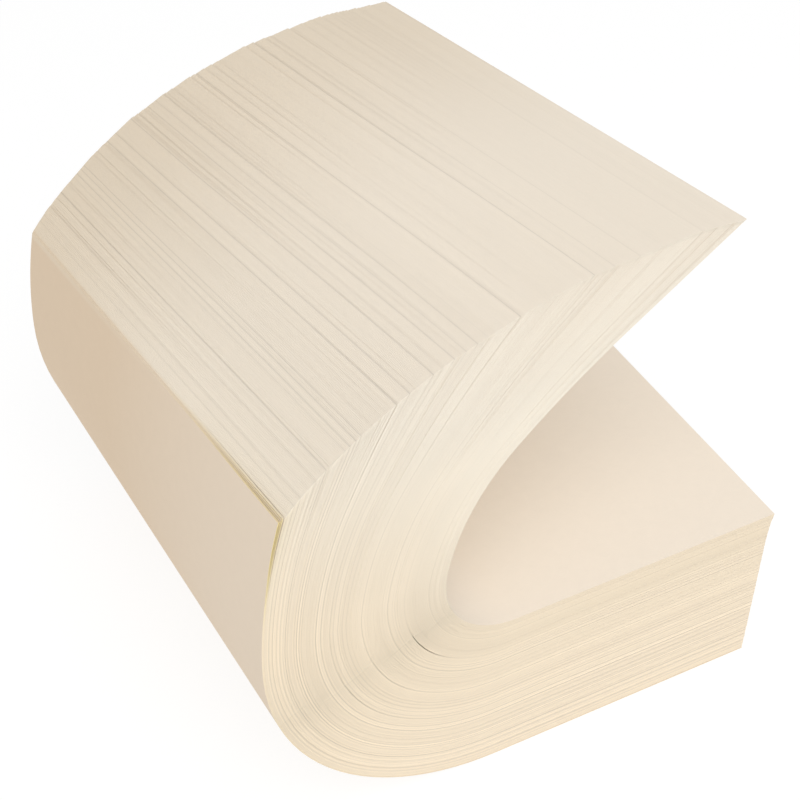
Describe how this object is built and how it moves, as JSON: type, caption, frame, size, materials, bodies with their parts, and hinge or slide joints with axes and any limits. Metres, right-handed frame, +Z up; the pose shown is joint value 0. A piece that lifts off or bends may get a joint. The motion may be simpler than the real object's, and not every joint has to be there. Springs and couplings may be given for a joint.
{
  "type": "ream of paper",
  "caption": "Ream of loose cream paper bent up and back over itself for fanning: the lower half lies flat, the free ends form a slope.",
  "frame": {"origin": "middle of the flat part of the underside, halfway across the sheets", "axes": "+Z up from the surface that the ream lies on; +X along the sheets towards the flush ends, away from the bend; +Y across the sheets"},
  "size_m": [0.2284, 0.2381, 0.2102],
  "materials": {
    "cream_paper": "uncoated, matt, faint fibre",
    "yellowed_paper": "uncoated, matt, edges yellowed"
  },
  "bodies": {
    "root": {"sheets_01": "yellowed_paper", "sheets_02": "yellowed_paper", "sheets_03": "cream_paper", "sheets_04": "cream_paper", "sheets_05": "cream_paper", "sheets_06": "cream_paper", "sheets_07": "cream_paper", "sheets_08": "cream_paper", "sheets_09": "cream_paper", "sheets_10": "cream_paper", "sheets_11": "cream_paper", "sheets_12": "cream_paper", "sheets_13": "cream_paper", "sheets_14": "cream_paper", "sheets_15": "cream_paper", "sheets_16": "cream_paper", "sheets_17": "cream_paper", "sheets_18": "cream_paper", "sheets_19": "cream_paper", "sheets_20": "cream_paper", "sheets_21": "cream_paper", "sheets_22": "cream_paper", "sheets_23": "cream_paper", "sheets_24": "cream_paper", "sheets_25": "cream_paper", "sheets_26": "cream_paper", "sheets_27": "cream_paper", "sheets_28": "cream_paper", "sheets_29": "cream_paper", "sheets_30": "cream_paper", "sheets_31": "cream_paper", "sheets_32": "cream_paper", "sheets_33": "cream_paper", "sheets_34": "cream_paper", "sheets_35": "cream_paper", "sheets_36": "cream_paper", "sheets_37": "cream_paper", "sheets_38": "cream_paper", "sheets_39": "cream_paper", "sheets_40": "cream_paper"}
  },
  "joints": []
}
